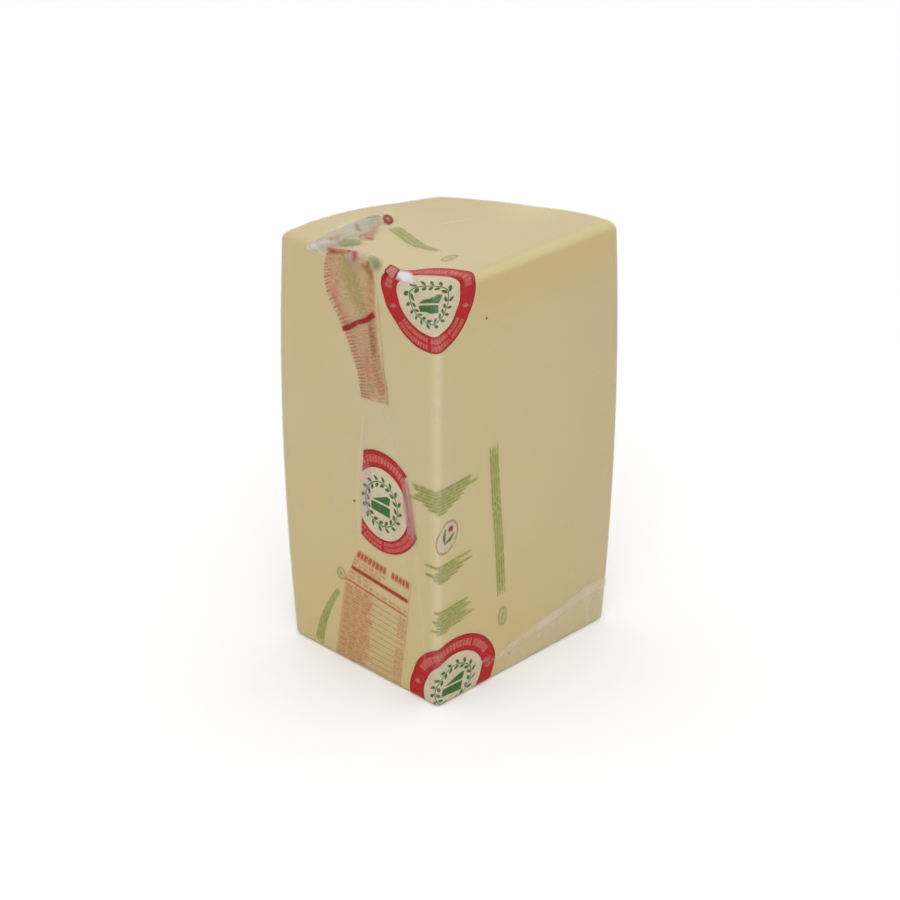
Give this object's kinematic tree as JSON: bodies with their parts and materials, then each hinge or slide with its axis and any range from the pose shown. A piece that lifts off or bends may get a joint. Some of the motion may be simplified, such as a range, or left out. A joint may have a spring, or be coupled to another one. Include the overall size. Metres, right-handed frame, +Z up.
{
  "type": "vacuum-packed pecorino romano quarter",
  "caption": "Upright quarter wheel of hard ewe's-milk cheese in a skin-tight clear bag: two flat cut faces, a rounded rind, pleated film and red, green and orange print.",
  "frame": {"origin": "on the floor under the middle of the piece's plan outline", "axes": "+Z up along the wheel's axis, +X along the right cut face away from the front edge, +Y along the left cut face away from the front edge"},
  "size_m": [0.1754, 0.1503, 0.303],
  "materials": {
    "bagged_cheese": "pale straw-coloured cheese seen through tight clear film with a soft sheen"
  },
  "bodies": {
    "root": {"bagged_cheese": "bagged_cheese"}
  },
  "joints": []
}
